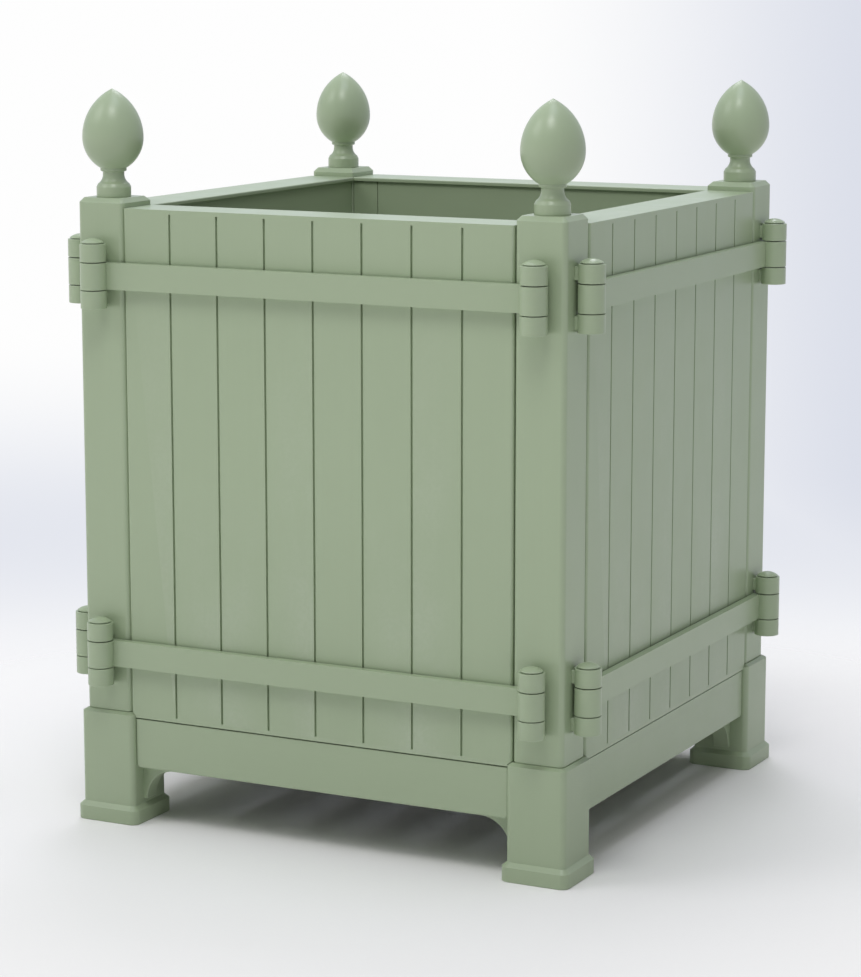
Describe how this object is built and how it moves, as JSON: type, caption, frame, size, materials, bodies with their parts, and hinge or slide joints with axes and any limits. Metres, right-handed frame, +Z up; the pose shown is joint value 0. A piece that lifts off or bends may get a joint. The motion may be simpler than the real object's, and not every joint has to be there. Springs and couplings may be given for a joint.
{
  "type": "versailles planter",
  "caption": "Square painted planter on block feet, with corner posts and egg finials, grooved sides under wide caps, and flat bars held to the posts by lift-out hinge pins.",
  "frame": {"origin": "centre of the plan, on the ground", "axes": "+Z up, the front with its left and right posts faces -Y, the pictured right side faces +X"},
  "size_m": [0.5986, 0.5986, 0.7584],
  "materials": {
    "painted_timber": "satin sage green paint",
    "painted_steel": "satin sage green paint"
  },
  "bodies": {
    "planter": {"foot_front_left": "painted_timber", "foot_front_right": "painted_timber", "foot_back_right": "painted_timber", "foot_back_left": "painted_timber", "base_rail_front": "painted_timber", "base_rail_right": "painted_timber", "base_rail_back": "painted_timber", "base_rail_left": "painted_timber", "post_front_left": "painted_timber", "post_front_right": "painted_timber", "post_back_right": "painted_timber", "post_back_left": "painted_timber", "finial_front_left": "painted_timber", "finial_front_right": "painted_timber", "finial_back_right": "painted_timber", "finial_back_left": "painted_timber", "face_panel_front": "painted_timber", "face_panel_right": "painted_timber", "face_panel_back": "painted_timber", "face_panel_left": "painted_timber", "cap_front": "painted_timber", "cap_right": "painted_timber", "cap_back": "painted_timber", "cap_left": "painted_timber", "lining_front": "painted_timber", "lining_right": "painted_timber", "lining_back": "painted_timber", "lining_left": "painted_timber", "corbels": "painted_timber", "end_stiles": "painted_timber", "floor_boards": "painted_timber", "floor_bearers": "painted_timber", "bar_front_upper": "painted_steel", "bar_front_lower": "painted_steel", "bar_right_upper": "painted_steel", "bar_right_lower": "painted_steel", "bar_back_upper": "painted_steel", "bar_back_lower": "painted_steel", "bar_left_upper": "painted_steel", "bar_left_lower": "painted_steel", "knuckles_front_left": "painted_steel", "knuckles_front_right": "painted_steel", "knuckles_back_right": "painted_steel", "knuckles_back_left": "painted_steel"},
    "pin_front_left_upper": {"pin_front_left_upper": "painted_steel"},
    "pin_front_left_lower": {"pin_front_left_lower": "painted_steel"},
    "pin_front_right_upper": {"pin_front_right_upper": "painted_steel"},
    "pin_front_right_lower": {"pin_front_right_lower": "painted_steel"},
    "pin_right_left_upper": {"pin_right_left_upper": "painted_steel"},
    "pin_right_left_lower": {"pin_right_left_lower": "painted_steel"},
    "pin_right_right_upper": {"pin_right_right_upper": "painted_steel"},
    "pin_right_right_lower": {"pin_right_right_lower": "painted_steel"},
    "pin_back_left_upper": {"pin_back_left_upper": "painted_steel"},
    "pin_back_left_lower": {"pin_back_left_lower": "painted_steel"},
    "pin_back_right_upper": {"pin_back_right_upper": "painted_steel"},
    "pin_back_right_lower": {"pin_back_right_lower": "painted_steel"},
    "pin_left_left_upper": {"pin_left_left_upper": "painted_steel"},
    "pin_left_left_lower": {"pin_left_left_lower": "painted_steel"},
    "pin_left_right_upper": {"pin_left_right_upper": "painted_steel"},
    "pin_left_right_lower": {"pin_left_right_lower": "painted_steel"}
  },
  "joints": [
    {"name": "pin_front_left_upper_lift", "type": "slide", "parent": "planter", "child": "pin_front_left_upper", "axis": [0, 0, 1], "range_m": [0, 0.07]},
    {"name": "pin_front_left_lower_lift", "type": "slide", "parent": "planter", "child": "pin_front_left_lower", "axis": [0, 0, 1], "range_m": [0, 0.07]},
    {"name": "pin_front_right_upper_lift", "type": "slide", "parent": "planter", "child": "pin_front_right_upper", "axis": [0, 0, 1], "range_m": [0, 0.07]},
    {"name": "pin_front_right_lower_lift", "type": "slide", "parent": "planter", "child": "pin_front_right_lower", "axis": [0, 0, 1], "range_m": [0, 0.07]},
    {"name": "pin_right_left_upper_lift", "type": "slide", "parent": "planter", "child": "pin_right_left_upper", "axis": [0, 0, 1], "range_m": [0, 0.07]},
    {"name": "pin_right_left_lower_lift", "type": "slide", "parent": "planter", "child": "pin_right_left_lower", "axis": [0, 0, 1], "range_m": [0, 0.07]},
    {"name": "pin_right_right_upper_lift", "type": "slide", "parent": "planter", "child": "pin_right_right_upper", "axis": [0, 0, 1], "range_m": [0, 0.07]},
    {"name": "pin_right_right_lower_lift", "type": "slide", "parent": "planter", "child": "pin_right_right_lower", "axis": [0, 0, 1], "range_m": [0, 0.07]},
    {"name": "pin_back_left_upper_lift", "type": "slide", "parent": "planter", "child": "pin_back_left_upper", "axis": [0, 0, 1], "range_m": [0, 0.07]},
    {"name": "pin_back_left_lower_lift", "type": "slide", "parent": "planter", "child": "pin_back_left_lower", "axis": [0, 0, 1], "range_m": [0, 0.07]},
    {"name": "pin_back_right_upper_lift", "type": "slide", "parent": "planter", "child": "pin_back_right_upper", "axis": [0, 0, 1], "range_m": [0, 0.07]},
    {"name": "pin_back_right_lower_lift", "type": "slide", "parent": "planter", "child": "pin_back_right_lower", "axis": [0, 0, 1], "range_m": [0, 0.07]},
    {"name": "pin_left_left_upper_lift", "type": "slide", "parent": "planter", "child": "pin_left_left_upper", "axis": [0, 0, 1], "range_m": [0, 0.07]},
    {"name": "pin_left_left_lower_lift", "type": "slide", "parent": "planter", "child": "pin_left_left_lower", "axis": [0, 0, 1], "range_m": [0, 0.07]},
    {"name": "pin_left_right_upper_lift", "type": "slide", "parent": "planter", "child": "pin_left_right_upper", "axis": [0, 0, 1], "range_m": [0, 0.07]},
    {"name": "pin_left_right_lower_lift", "type": "slide", "parent": "planter", "child": "pin_left_right_lower", "axis": [0, 0, 1], "range_m": [0, 0.07]}
  ]
}
